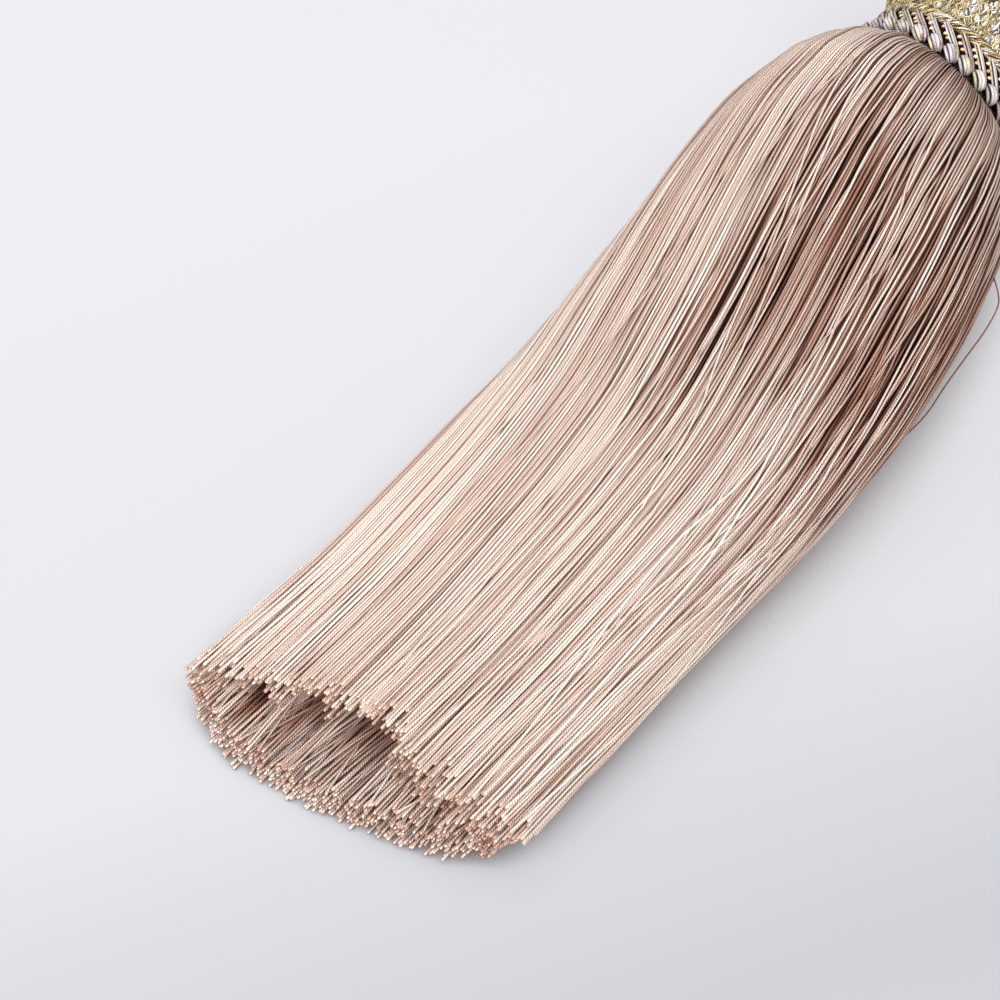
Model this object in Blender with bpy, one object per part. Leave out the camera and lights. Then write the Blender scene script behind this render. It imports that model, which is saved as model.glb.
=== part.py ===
"""A curtain tieback tassel lying on its side: a skirt of twisted cords, a plaited collar and a netted head.

Metres, +Z up. +X runs along the tassel from the cut ends to the head, and z = 0 is the surface it lies on.
The middle of the collar's lower edge stands over x = y = 0 until the whole tassel is centred at the end.
"""

import math
import random
from collections import namedtuple

import bmesh
import bpy
import numpy as np
from mathutils import Euler, Matrix, Vector

MM = 0.001
GAP = 0.3 * MM
SHARP_FROM = math.radians(40)

# The head's axis starts at the collar and rises a little, so that the head's bulge comes down to the surface.
COLLAR_HEIGHT = 30.5 * MM
HEAD_YAW = math.radians(-5.5)
HEAD_PITCH = math.radians(7.8)

# The skirt. A row is one section of the tube: how far back from the collar it is, the sideways place of its
# middle, half its width, its underside and its top, the thickness of its wall, all in mm, and how square the
# section is (2 is an ellipse). An underside below 0 is pressed flat on the surface.
Section = namedtuple("Section", "back side half_width under top wall square")
SKIRT_SECTIONS = [
    Section(-5.0, 0.0, 22.6, 7.9, 53.1, 3.8, 2.0),
    Section(0.0, 0.0, 22.8, 7.7, 53.3, 3.9, 2.0),
    Section(2.0, -0.1, 25.8, 5.0, 56.0, 4.2, 2.0),
    Section(5.0, -0.3, 29.0, 2.6, 58.8, 4.4, 2.0),
    Section(10.0, -0.6, 33.0, 0.6, 61.2, 4.4, 2.0),
    Section(20.0, -1.1, 37.0, -0.6, 62.6, 4.3, 2.05),
    Section(38.0, -2.4, 40.3, -0.8, 60.4, 4.2, 2.1),
    Section(60.0, -4.9, 42.2, -0.8, 54.4, 4.0, 2.2),
    Section(90.0, -6.6, 43.3, -0.8, 44.2, 3.8, 2.3),
    Section(125.0, -7.0, 42.6, -0.8, 35.9, 3.6, 2.3),
    Section(160.0, -4.8, 42.2, -0.8, 28.2, 3.4, 2.3),
    Section(192.0, -3.0, 43.0, -0.8, 21.0, 3.3, 2.3),
    Section(228.0, -0.2, 45.0, -0.8, 15.6, 3.2, 2.3),
    Section(246.0, 0.8, 45.4, -0.8, 13.6, 3.2, 2.3),
]
FULL_RINGS = 12  # the rows that the whole tube has; past them each column runs on to its own end
TILT_FADES_BACK = 60 * MM  # the sections stand square to the head's axis at the collar, and upright from here

# Where the cords are cut, by sideways place: how far back the tube's upper and lower sides end, in mm.
CutLine = namedtuple("CutLine", "side upper lower")
CUT_LINE = [
    CutLine(-46.0, 223.0, 225.0),
    CutLine(-35.0, 225.0, 237.0),
    CutLine(-20.0, 223.5, 241.0),
    CutLine(-8.0, 221.5, 243.5),
    CutLine(4.0, 222.5, 246.0),
    CutLine(16.0, 225.5, 247.0),
    CutLine(30.0, 228.0, 247.0),
    CutLine(41.0, 230.0, 241.5),
    CutLine(47.0, 230.0, 234.5),
]

UPPER_SIDE = (0.2, 0.6)  # the shares of the height between which the cut goes over from lower to upper

OUTLINE_STEPS = 720
OUTLINE_REACH = 0.004  # of the girth, to each side of a point, to find which way it faces

# The cords lie in locks with furrows between them, which end as the teeth of a comb.
LOCKS = 30
LOCK_SEED = 11
LOCK_WIDTHS = (0.75, 1.3)  # the narrowest and the widest lock, in shares of a mean one
FURROW_SHARE = 0.17  # of a lock's width
CROWN_HEIGHTS = (0.2 * MM, 0.9 * MM)
FURROW_DEPTHS = (0.2 * MM, 0.8 * MM)
RELIEF_GROWS_TO = 20 * MM
TOOTH_LENGTHS = (8 * MM, 14 * MM)
UNEVEN_CUT = 1.4 * MM
COLUMNS_A_LOCK = 3

# The locks turn a little towards -Y round the tube on their way back, as a share of its girth.
SKEW = 0.055
SKEW_RUNS = (40 * MM, 165 * MM)

# The collar's band round the neck, with a row of beads along its lower edge.
COLLAR_INNER = 23.1 * MM
COLLAR_THICK = 2.8 * MM
COLLAR_EDGE_SHARE = 0.55  # how thick the band is at its edges, as a share of its middle
COLLAR_FROM = 0.8 * MM
COLLAR_WIDE = 7.2 * MM
COLLAR_BEADS = 32
BEAD_PROUD = 0.5 * MM
COLLAR_STEPS = 6  # facets across the band

# The head, by the outer face of its net: how far along its axis, and the radius there, in mm.
NET_PROFILE = [
    (8.4, 25.2),
    (12.0, 26.3),
    (16.5, 28.7),
    (22.0, 32.5),
    (27.0, 35.4),
    (33.0, 36.3),
    (39.0, 35.3),
    (45.5, 32.0),
    (52.0, 26.8),
    (58.5, 20.0),
    (63.0, 11.8),
]
NET_THICK = 1.2 * MM
MOULD_INSET = NET_THICK + 1.9 * GAP  # leaves the gap between the two at their facets' closest
HEAD_SIDES = 36

NECK_RADIUS = 18.0 * MM
NECK_FROM = -9.0 * MM
NECK_TO = 5.6 * MM
RIM_RADIUS = 10.2 * MM
RIM_AT = 65.5 * MM
ROPE_HOLE_RADIUS = 5.5 * MM
ROPE_HOLE_DEPTH = 16.0 * MM

SKIRT_COLOUR = (0.62, 0.47, 0.42, 1)
COLLAR_COLOUR = (0.56, 0.49, 0.45, 1)
NET_COLOUR = (0.55, 0.52, 0.36, 1)
MOULD_COLOUR = (0.74, 0.71, 0.68, 1)


def clear_scene():
    for old in list(bpy.data.objects):
        bpy.data.objects.remove(old, do_unlink=True)


def material(name, colour, roughness, metallic=0.0):
    made = bpy.data.materials.new(name)
    made.use_nodes = True
    shader = made.node_tree.nodes["Principled BSDF"]
    shader.inputs["Base Color"].default_value = colour
    shader.inputs["Roughness"].default_value = roughness
    shader.inputs["Metallic"].default_value = metallic
    return made


def mesh_object(name, mesh_builder, finish, parent):
    """Makes an object of a filled bmesh, with its faces turned out."""
    bmesh.ops.recalc_face_normals(mesh_builder, faces=mesh_builder.faces)
    mesh = bpy.data.meshes.new(name)
    mesh_builder.to_mesh(mesh)
    mesh_builder.free()
    mesh.materials.append(finish)
    mesh.shade_smooth()
    mesh.set_sharp_from_angle(angle=SHARP_FROM)
    made = bpy.data.objects.new(name, mesh)
    bpy.context.scene.collection.objects.link(made)
    made.parent = parent
    return made


def smooth_step(value, low, high):
    share = min(max((value - low) / (high - low), 0.0), 1.0)
    return share * share * (3 - 2 * share)


def head_frame(share=1.0):
    """The turn from upright to the head's axis, or to a share of it. Its X is the axis."""
    return Euler((0, -HEAD_PITCH * share, HEAD_YAW * share), "XYZ").to_matrix()


def section_at(back):
    """The skirt's section at any distance back, between two rows of the table, in metres."""
    rows = np.array(SKIRT_SECTIONS)
    values = [np.interp(back / MM, rows[:, 0], rows[:, column]) for column in range(rows.shape[1])]
    lengths = [value * MM for value in values[:-1]]
    return Section(*lengths, values[-1])


def signed_power(values, power):
    return np.sign(values) * np.abs(values) ** power


def outline_point(half_width, half_height, square, fraction):
    """A point of a section's outline and the way out there, at a fraction of the girth from its lowest point.

    The fraction grows towards -Y, over the top, and down the +Y side.
    """
    angles = np.linspace(0, 2 * math.pi, OUTLINE_STEPS + 1)
    side = -half_width * signed_power(np.sin(angles), 2 / square)
    up = -half_height * signed_power(np.cos(angles), 2 / square)
    steps = np.hypot(np.diff(side), np.diff(up))
    along = np.concatenate([[0.0], np.cumsum(steps)])
    at = (fraction % 1.0) * along[-1]
    reach = along[-1] * OUTLINE_REACH
    before = np.array([np.interp((at - reach) % along[-1], along, axis) for axis in (side, up)])
    after = np.array([np.interp((at + reach) % along[-1], along, axis) for axis in (side, up)])
    tangent = (after - before) / np.hypot(*(after - before))
    point = (np.interp(at, along, side), np.interp(at, along, up))
    return point, (-tangent[1], tangent[0])


def skirt_point(back, fraction, relief, inner):
    """A point on the skirt's outer or inner face."""
    row = section_at(back)
    wall = row.wall if inner else 0.0
    low = max(row.under, 0.0) + wall if inner else row.under
    high = row.top - wall
    skewed = fraction - SKEW * smooth_step(back, *SKEW_RUNS)
    (side, up), outward = outline_point(row.half_width - wall, (high - low) / 2, row.square, skewed)
    if not inner:
        side += outward[0] * relief
        up += outward[1] * relief
    turn = head_frame(1 - smooth_step(back, 0.0, TILT_FADES_BACK))
    middle = Vector((-back, row.side, (high + low) / 2))
    if back < 0:
        middle = Vector((0, 0, (high + low) / 2)) + head_frame() @ Vector((-back, 0, 0))
    point = middle + turn @ Vector((0, side, up))
    point.z = max(point.z, 0.0)
    return point


def lock_columns(rng):
    """For each column of the skirt: its fraction of the girth, and its relief."""
    widths = np.array([rng.uniform(*LOCK_WIDTHS) for _ in range(LOCKS)])
    edges = np.concatenate([[0.0], np.cumsum(widths) / widths.sum()])
    columns = []
    for start, end in zip(edges[:-1], edges[1:]):
        furrow = (end - start) * FURROW_SHARE / 2
        depth = rng.uniform(*FURROW_DEPTHS)
        crown = rng.uniform(*CROWN_HEIGHTS)
        columns += [(start + furrow, -depth), ((start + end) / 2, crown), (end - furrow, -depth)]
    return columns


def cut_back(fraction):
    """How far back the cords at this fraction of the girth are cut."""
    lines = np.array(CUT_LINE)
    at = skirt_point(lines[:, 1].mean() * MM, fraction, 0.0, False)
    row = section_at(lines[:, 1].mean() * MM)
    upper = smooth_step(at.z, *[row.top * share for share in UPPER_SIDE])
    ends = [np.interp(at.y / MM, lines[:, 0], lines[:, column]) * MM for column in (2, 1)]
    return ends[0] * (1 - upper) + ends[1] * upper


def skirt_backs(columns, rng):
    """The distances back of each column's points: the full rings', then its tooth's root and end."""
    rings = [row.back * MM for row in SKIRT_SECTIONS[:FULL_RINGS]]
    backs = []
    for lock in range(LOCKS):
        tooth = rng.uniform(*TOOTH_LENGTHS)
        uneven = rng.uniform(-UNEVEN_CUT, UNEVEN_CUT)
        for column in range(COLUMNS_A_LOCK):
            end = cut_back(columns[lock * COLUMNS_A_LOCK + column][0]) + uneven
            backs.append(rings + [end - tooth, end])
    return backs


def build_skirt(parent):
    """The fringe as a flattened tube, open at its cut ends, which are a comb of locks."""
    rng = random.Random(LOCK_SEED)
    columns = lock_columns(rng)
    backs = skirt_backs(columns, rng)
    builder = bmesh.new()
    faces_out = []
    for inner in (False, True):
        face = []
        for (fraction, relief), places in zip(columns, backs):
            grown = [relief * smooth_step(back, 0.0, RELIEF_GROWS_TO) for back in places]
            points = [skirt_point(back, fraction, height, inner) for back, height in zip(places, grown)]
            face.append([builder.verts.new(point) for point in points])
        faces_out.append(face)
    outer, inside = faces_out
    last = len(backs[0]) - 1
    count = len(columns)
    for column in range(count):
        beside = (column + 1) % count
        in_furrow = column % COLUMNS_A_LOCK == COLUMNS_A_LOCK - 1
        end = last - 1 if in_furrow else last
        for skin in (outer, inside):
            for ring in range(end):
                builder.faces.new(
                    (skin[column][ring], skin[beside][ring], skin[beside][ring + 1], skin[column][ring + 1])
                )
        for ring in (0, end):
            builder.faces.new(
                (outer[column][ring], outer[beside][ring], inside[beside][ring], inside[column][ring])
            )
        if in_furrow:
            for edge in (column, beside):
                builder.faces.new(
                    (outer[edge][end], outer[edge][last], inside[edge][last], inside[edge][end])
                )
    finish = material("skirt_thread", SKIRT_COLOUR, 0.45)
    return mesh_object("skirt", builder, finish, parent)


def on_head_axis(along, radius, angle):
    """A point at this place along the head's axis and round it. Angle 0 is up, and it grows towards -Y."""
    local = Vector((along, -radius * math.sin(angle), radius * math.cos(angle)))
    return Vector((0, 0, COLLAR_HEIGHT)) + head_frame() @ local


def turned(name, profile, sides, finish, parent, shape=None, floors=None):
    """A closed ring or bush round the head's axis: the profile's points (along, radius) go round its section.

    Each point stays above its floor, or above the surface, which leaves a flat spot where the piece lies.
    """
    builder = bmesh.new()
    rings = []
    for side in range(sides):
        angle = 2 * math.pi * side / sides
        points = [shape(along, radius, side) if shape else (along, radius) for along, radius in profile]
        placed = [on_head_axis(along, radius, angle) for along, radius in points]
        for point, floor in zip(placed, floors or [0.0] * len(placed)):
            point.z = max(point.z, floor)
        rings.append([builder.verts.new(point) for point in placed])
    closed = profile[0][1] > 0
    count = len(profile)
    for side in range(sides):
        here, beside = rings[side], rings[(side + 1) % sides]
        for step in range(count if closed else count - 1):
            after = (step + 1) % count
            builder.faces.new((here[step], beside[step], beside[after], here[after]))
    if not closed:
        bmesh.ops.remove_doubles(builder, verts=builder.verts, dist=MM / 100)
    return mesh_object(name, builder, finish, parent)


def build_collar(parent):
    """The braid's band: rounded outside, with its lower edge in beads."""
    middle = COLLAR_FROM + COLLAR_WIDE / 2
    profile = [(COLLAR_FROM + COLLAR_WIDE, COLLAR_INNER), (COLLAR_FROM, COLLAR_INNER)]
    for step in range(COLLAR_STEPS + 1):
        angle = math.pi * step / COLLAR_STEPS
        along = middle - COLLAR_WIDE / 2 * math.cos(angle)
        crown = COLLAR_EDGE_SHARE + (1 - COLLAR_EDGE_SHARE) * math.sin(angle)
        profile.append((along, COLLAR_INNER + COLLAR_THICK * crown))

    def beads(along, radius, side):
        if radius <= COLLAR_INNER or along > middle:
            return along, radius
        proud = BEAD_PROUD * (1 if side % 2 else -1)
        return along - proud * (middle - along) / (COLLAR_WIDE / 2), radius + proud / 2

    finish = material("gimp_braid", COLLAR_COLOUR, 0.5)
    return turned("collar_braid", profile, COLLAR_BEADS * 2, finish, parent, beads)


def inset_profile(points, depth):
    """The profile moved in by a depth, square to itself."""
    moved = []
    for index, (along, radius) in enumerate(points):
        before = points[max(index - 1, 0)]
        after = points[min(index + 1, len(points) - 1)]
        run, rise = after[0] - before[0], after[1] - before[1]
        length = math.hypot(run, rise)
        moved.append((along + rise / length * depth, radius - run / length * depth))
    return moved


def build_head(parent):
    """The net, a thin shell, and the turned mould that fills it, with the rope's hole in its top."""
    outer = [(along * MM, radius * MM) for along, radius in NET_PROFILE]
    inner = inset_profile(outer, NET_THICK)
    net_finish = material("metallic_net", NET_COLOUR, 0.35, 0.6)
    floors = [0.0] * len(outer) + [NET_THICK] * len(inner)
    turned("net_cover", outer + inner[::-1], HEAD_SIDES, net_finish, parent, floors=floors)

    bulb = inset_profile(outer, MOULD_INSET)
    hole_end = RIM_AT - ROPE_HOLE_DEPTH
    profile = [(NECK_FROM, 0.0), (NECK_FROM, NECK_RADIUS), (NECK_TO, NECK_RADIUS)]
    profile += bulb
    profile += [(bulb[-1][0], RIM_RADIUS), (RIM_AT, RIM_RADIUS)]
    profile += [(RIM_AT, ROPE_HOLE_RADIUS), (hole_end, ROPE_HOLE_RADIUS), (hole_end, 0.0)]
    mould_finish = material("head_yarn", MOULD_COLOUR, 0.5)
    floors = [MOULD_INSET] * len(profile)
    turned("head_mould", profile, HEAD_SIDES, mould_finish, parent, floors=floors)


def centre_on_surface(tassel):
    """Moves the whole tassel so that the middle of its base is the origin."""
    bpy.context.view_layer.update()
    corners = [child.matrix_world @ Vector(corner) for child in tassel.children for corner in child.bound_box]
    low = Vector([min(corner[axis] for corner in corners) for axis in range(3)])
    high = Vector([max(corner[axis] for corner in corners) for axis in range(3)])
    tassel.matrix_world = Matrix.Translation((-(low.x + high.x) / 2, -(low.y + high.y) / 2, -low.z))


def main():
    clear_scene()
    tassel = bpy.data.objects.new("tassel", None)
    bpy.context.scene.collection.objects.link(tassel)
    build_skirt(tassel)
    build_collar(tassel)
    build_head(tassel)
    centre_on_surface(tassel)


main()
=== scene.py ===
import math
from collections import namedtuple

import bpy
import numpy as np
from mathutils import Euler, Matrix, Vector


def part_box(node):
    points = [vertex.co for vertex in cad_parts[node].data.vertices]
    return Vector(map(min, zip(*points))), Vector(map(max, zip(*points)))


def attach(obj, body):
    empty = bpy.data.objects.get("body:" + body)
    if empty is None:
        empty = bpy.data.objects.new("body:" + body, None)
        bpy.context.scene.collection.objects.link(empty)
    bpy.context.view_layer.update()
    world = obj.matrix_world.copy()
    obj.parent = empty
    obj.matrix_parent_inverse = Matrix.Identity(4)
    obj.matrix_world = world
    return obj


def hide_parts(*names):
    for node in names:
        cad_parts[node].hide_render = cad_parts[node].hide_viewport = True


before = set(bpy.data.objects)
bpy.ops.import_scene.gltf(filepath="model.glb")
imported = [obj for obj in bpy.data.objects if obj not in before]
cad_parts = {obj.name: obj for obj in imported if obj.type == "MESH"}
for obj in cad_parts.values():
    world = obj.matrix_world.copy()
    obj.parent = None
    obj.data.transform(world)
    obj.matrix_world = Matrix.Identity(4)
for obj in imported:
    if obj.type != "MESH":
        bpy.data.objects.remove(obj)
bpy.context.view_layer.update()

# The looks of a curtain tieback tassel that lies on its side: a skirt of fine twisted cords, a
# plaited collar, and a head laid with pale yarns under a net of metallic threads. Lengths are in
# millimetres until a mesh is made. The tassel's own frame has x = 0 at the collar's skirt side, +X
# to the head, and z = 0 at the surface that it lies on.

MM = 0.001

COLLAR_HEIGHT = 30.5
HEAD_YAW = math.radians(-5.5)
HEAD_PITCH = math.radians(7.8)
COLLAR_MIDDLE_ALONG = 4.4  # of the collar's box, along the head's axis

# One section of the skirt: how far back from the collar it is, the sideways place of its middle,
# half its width, its top, the thickness of its wall, and how square it is (2 is an ellipse). Its
# underside lies on the surface, save near the collar, where "under" lifts it.
Section = namedtuple("Section", "back side half_width under top wall square")
SKIRT_SECTIONS = [
    (-6.0, 0.0, 22.3, 8.2, 52.8, 3.8, 2.0),
    (0.0, 0.0, 22.6, 7.9, 53.1, 3.9, 2.0),
    (2.0, -0.1, 25.6, 5.2, 55.8, 4.2, 2.0),
    (5.0, -0.3, 28.9, 2.7, 58.7, 4.4, 2.0),
    (10.0, -0.6, 33.0, 0.8, 61.2, 4.4, 2.0),
    (20.0, -1.1, 37.1, 0.0, 62.7, 4.3, 2.05),
    (38.0, -2.4, 40.5, 0.0, 60.5, 4.2, 2.1),
    (60.0, -4.9, 42.5, 0.0, 54.5, 4.0, 2.2),
    (90.0, -6.6, 43.6, 0.0, 44.3, 3.8, 2.3),
    (125.0, -7.0, 42.9, 0.0, 36.0, 3.6, 2.3),
    (160.0, -4.8, 42.5, 0.0, 28.3, 3.4, 2.3),
    (192.0, -3.0, 43.2, 0.0, 21.1, 3.3, 2.3),
    (228.0, -0.2, 45.2, 0.0, 15.7, 3.2, 2.3),
    (252.0, 0.8, 45.8, 0.0, 13.4, 3.2, 2.3),
]
TILT_FADES_BACK = 60.0
OUTLINE_STEPS = 720
ROUNDING = (-0.5, -0.25, 0.0, 0.25, 0.5)
ROUNDING_SHARE, ROUNDING_LEAST, ROUNDING_MOST = 0.25, 1.0, 16.0
NORMAL_STEP = 0.003

# The stations along the skirt lie closest together at the collar, where the cords bend most.
STATIONS = 96
FIRST_BACK, STATION_SPAN = -5.0, 257.0
STATION_EVEN, STATION_BENT, STATION_POWER = 0.18, 0.82, 1.9

# Where the cords are cut, by sideways place: how far back the tube's upper and lower sides end.
CutLine = namedtuple("CutLine", "side upper lower")
CUT_LINE = [
    (-48.0, 226.0, 222.0), (-40.0, 227.5, 229.0), (-34.0, 228.0, 238.0), (-21.0, 229.0, 241.5),
    (-12.8, 226.5, 243.2), (-4.0, 223.0, 245.0), (7.5, 223.5, 246.3), (16.5, 226.5, 246.5),
    (24.0, 229.5, 246.5), (34.0, 231.0, 243.5), (44.0, 232.5, 237.5), (47.0, 232.5, 234.5),
]
CUT_AT = 226.0
UPPER_SIDE = (0.2, 0.6)
CUT_SHORT = 2.0
UNEVEN_UPPER, UNEVEN_LOWER = 2.2, 1.0
UNEVEN_LEAST, UNEVEN_MOST = -2.4, 1.5
STEPPED_UPPER, STEPPED_LOWER = 0.6, 0.32
STEPPED_DEPTH = 5.5
STEPPED_IN_GAP = 2.5
ENDS_STATION = -8  # the one whose depths order the cut ends

# The cut ends are small knobs: how far each of a cord's last rings is from its end, and how much
# thicker the cord is there.
TipRing = namedtuple("TipRing", "left thick")
TIP_RINGS = [
    TipRing(2.2, 0.0),
    TipRing(1.3, 0.32),
    TipRing(0.7, 0.5),
    TipRing(0.25, 0.3),
    TipRing(0.0, -0.2),
]
KNOB_SPREAD = (0.5, 1.3)

SKEW = 0.055
SKEW_RUNS = (40.0, 165.0)

# The skirt's cords lie in layers. A row is one layer: its name, how many cords, how deep under the
# skin their middles lie along the skirt and at the cut ends, how much of the locks' parting it
# follows, how far its cut ends fan out, and the sides and the rings of each cord's tube.
Layer = namedtuple("Layer", "name cords depth end_depth parting fan sides rings")
LAYERS = [
    Layer("skirt_cords_outer", 258, 0.40, 0.5, 1.0, 0.8, 5, 66),
    Layer("skirt_cords_second", 250, 1.15, 1.5, 0.95, 1.0, 5, 50),
    Layer("skirt_cords_third", 230, 1.90, 2.6, 0.75, 1.5, 5, 40),
    Layer("skirt_cords_inner", 200, 2.65, 4.2, 0.5, 2.2, 5, 36),
    Layer("skirt_cords_loose", 200, 3.1, 5.9, 0.3, 3.5, 5, 36),
]
CORD_RADIUS = 0.39
RADIUS_SPREAD = 0.14
THINNED = 0.10
TAPER = 0.10
NECK_SQUEEZE = 0.60
SQUEEZE_ENDS = 16.0
END_REACH = 3.4
DROOP_FROM = (175.0, 232.0)

# Near the mouth the upper side's inner cords sag and the lower side's rise, which closes it but for
# its gaps: the sideways place of each gap and half its width.
MouthGap = namedtuple("MouthGap", "side half_width")
MOUTH_GAPS = [MouthGap(27.0, 3.0), MouthGap(14.5, 4.5), MouthGap(0.0, 8.0)]
GAP_EDGE = (0.45, 1.25)
SAG, GAP_LIFT = 2.6, 1.7
RISE, RISE_IN_GAP, RISE_LOST = 3.0, 0.8, 0.6
RISE_RUNS = (185.0, 220.0)
RISE_FADES = (226.0, 244.0)
INNER_DEPTH, INNER_POWER = 4.0, 1.5

# Bands round the girth, as shares of it from the underside by way of the near side: where each one
# rises and where it falls.
Band = namedtuple("Band", "rise fall")
NEAR_SIDE = Band((0.16, 0.28), (0.50, 0.64))
FLANK = Band((0.14, 0.2), (0.34, 0.42))
SHADED_SIDE = Band((0.12, 0.26), (0.48, 0.62))

# Cords of the outermost layer that lie across their neighbours: the share of cords that do, with
# what is added to it on the near side and on its flank, where they begin, how long each one takes
# to cross, and how far sideways it goes.
Crossing = namedtuple("Crossing", "chance near flank first last run drift")
CROSSINGS = [
    Crossing(0.08, 0.28, 0.0, 5.0, 150.0, 85.0, 6.5),
    Crossing(0.02, 0.14, 0.30, 30.0, 130.0, 38.0, 3.6),
]
CROSSING_RUN_SPREAD, CROSSING_DRIFT_SPREAD = (0.6, 1.4), (-1.5, 1.5)
CROSSING_LEAD, CROSSING_LIFT = 20, 0.9

SPREAD_RUNS, SPREAD_DEPTH = (192.0, 252.0), 0.28
SPLAYED_FROM, SPLAYED_SHARE = 2, 0.35
SPLAY, SPLAY_RUNS = 4.6, (222.0, 250.0)

# The cords gather in locks, whose edges are uneven and wander by shares of a lock's width, and
# which open and close along the skirt.
LOCKS = 122
LOCK_SEED = 7
LOCK_UNEVEN, LOCK_WANDER, LOCK_WANDER_CELLS = 0.3, 0.35, (24, 3)
LOCK_OPENING, LOCK_CELLS = (-0.45, 1.0), 9
LOCK_CROWN = 0.5
PARTING = 1.3
START_UNEVEN = 0.25
NOISE_LENGTH = 250.0

# Along the skirt the cords loosen, by shares over runs of the length, and lie more evenly again
# towards the cut ends. They stray most on the near side.
LOOSENING = [(0.25, (0.0, 8.0)), (0.75, (8.0, 55.0))]
EVENING, EVENING_RUNS = 0.62, (105.0, 185.0)
NEAR_BASE, NEAR_MORE = 0.35, 0.85

# How the cords stray: how far, how much further by the near side's share, the cells of the noise
# round and along the skirt, or only along for each cord's own, and whether it follows the parting.
Wave = namedtuple("Wave", "base near cells parted")
SIDEWAYS = [
    Wave(0.28, 0.24, (60, 6), True),
    Wave(0.5, 0.0, (15, 3), False),
    Wave(0.40, 0.30, (5,), False),
    Wave(0.13, 0.0, (22,), False),
    Wave(0.07, 0.0, (44,), False),
]
LIFT_SHARED = Wave(0.0, 0.12, (18, 4), False)
LIFT_OWN = Wave(0.26, 0.46, (9,), False)

SETTLE_ROUNDS, SETTLE_ROUNDS_QUICK, SETTLE_UNSMOOTHED = 60, 16, 4
SETTLE_NEIGHBOURS, SETTLE_PUSH, SETTLE_HOME, SETTLE_SMOOTH = 12, 0.4, 0.04, 0.2
SETTLE_PROUD, SETTLE_DEEPER = 0.6, 0.3
TURN = 2 * math.pi


def ease(share):
    return share * share * (3 - 2 * share)


def smooth_step(value, low, high):
    return ease(np.clip((value - low) / (high - low), 0.0, 1.0))


def evenly(count):
    """Angles evenly spaced round a turn."""
    return TURN * np.arange(count) / count


def in_band(share, band):
    return smooth_step(share, *band.rise) * (1 - smooth_step(share, *band.fall))


def head_turn(share=1.0):
    return np.array(Euler((0, -HEAD_PITCH * share, HEAD_YAW * share), "XYZ").to_matrix())


HEAD_AXIS = head_turn()[:, 0]


def tassel_offset():
    """From the tassel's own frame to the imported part's, in millimetres."""
    low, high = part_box("collar_braid")
    middle = np.array((low + high) / 2) / MM
    offset = middle - np.array([0, 0, COLLAR_HEIGHT]) - HEAD_AXIS * COLLAR_MIDDLE_ALONG
    return np.array([offset[0], offset[1], 0.0])


OFFSET = tassel_offset()


def cell_of(share, cells):
    """The cell that each share of a length is in, and how far into it, eased."""
    place = share * cells
    cell = np.floor(place).astype(int)
    return cell, ease(place - cell)


def lattice_noise(rng, across, along, cells_across, cells_along):
    """Smooth noise from -1 to 1 over a share of the girth, which wraps, and of the length."""
    lattice = rng.uniform(-1, 1, (cells_across, cells_along + 2))
    i, fu = cell_of(across % 1.0, cells_across)
    j, fv = cell_of(np.clip(along, 0, 1), cells_along)
    i0, i1 = i % cells_across, (i + 1) % cells_across
    low = lattice[i0, j] * (1 - fu) + lattice[i1, j] * fu
    high = lattice[i0, j + 1] * (1 - fu) + lattice[i1, j + 1] * fu
    return low * (1 - fv) + high * fv


def own_noise(rng, count, along, cells):
    """Smooth noise from -1 to 1 along each cord, its own for each."""
    lattice = rng.uniform(-1, 1, (count, cells + 2))
    j, fv = cell_of(np.clip(along, 0, 1), cells)
    return lattice[:, j] * (1 - fv) + lattice[:, j + 1] * fv


class Skin:
    """The skirt's outer surface at a set of stations back from the collar."""

    def __init__(self, backs):
        self.backs = backs
        rows = np.array(SKIRT_SECTIONS)
        self.rows = Section(*[self.eased(rows[:, 0], column) for column in rows.T])
        angles = np.linspace(0, TURN, OUTLINE_STEPS + 1)
        self.outlines = []
        for k in range(len(backs)):
            power = 2 / self.rows.square[k]
            half_height = (self.rows.top[k] - self.rows.under[k]) / 2
            sin, cos = np.sin(angles), np.cos(angles)
            side = -self.rows.half_width[k] * np.sign(sin) * np.abs(sin) ** power
            up = -half_height * np.sign(cos) * np.abs(cos) ** power
            along = np.concatenate([[0.0], np.cumsum(np.hypot(np.diff(side), np.diff(up)))])
            self.outlines.append((side, up, along))
        self.girth = np.array([along[-1] for _, _, along in self.outlines])

    def eased(self, known, values):
        """Values between the table's rows, with the corners between the rows rounded."""
        reach = np.clip(self.backs[:, None] * ROUNDING_SHARE, ROUNDING_LEAST, ROUNDING_MOST)
        return np.interp(self.backs[:, None] + np.array(ROUNDING) * reach, known, values).mean(1)

    def point(self, fractions, k):
        side_line, up_line, along = self.outlines[k]
        at = (fractions % 1.0) * along[-1]
        side = np.interp(at, along, side_line)
        up = np.interp(at, along, up_line)
        back = self.backs[k]
        turn = head_turn(1 - float(smooth_step(back, 0.0, TILT_FADES_BACK)))
        middle = np.array([-back, self.rows.side[k], (self.rows.top[k] + self.rows.under[k]) / 2])
        if back < 0:
            middle = np.array([0.0, 0.0, middle[2]]) + head_turn() @ np.array([-back, 0, 0])
        return middle + np.stack([np.zeros_like(side), side, up], 1) @ turn.T

    def points(self, fractions):
        return np.stack([self.point(fractions[:, k], k) for k in range(len(self.backs))], 1)

    def normals(self, fractions):
        around = self.points(fractions + NORMAL_STEP) - self.points(fractions - NORMAL_STEP)
        along = np.gradient(self.points(fractions), axis=1)
        out = np.cross(around, along)
        out /= np.linalg.norm(out, axis=2, keepdims=True)
        middle = np.stack([-self.backs, self.rows.side, (self.rows.top + self.rows.under) / 2], 1)
        facing = ((self.points(fractions) - middle) * out).sum(2, keepdims=True)
        return out * np.sign(facing)


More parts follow.
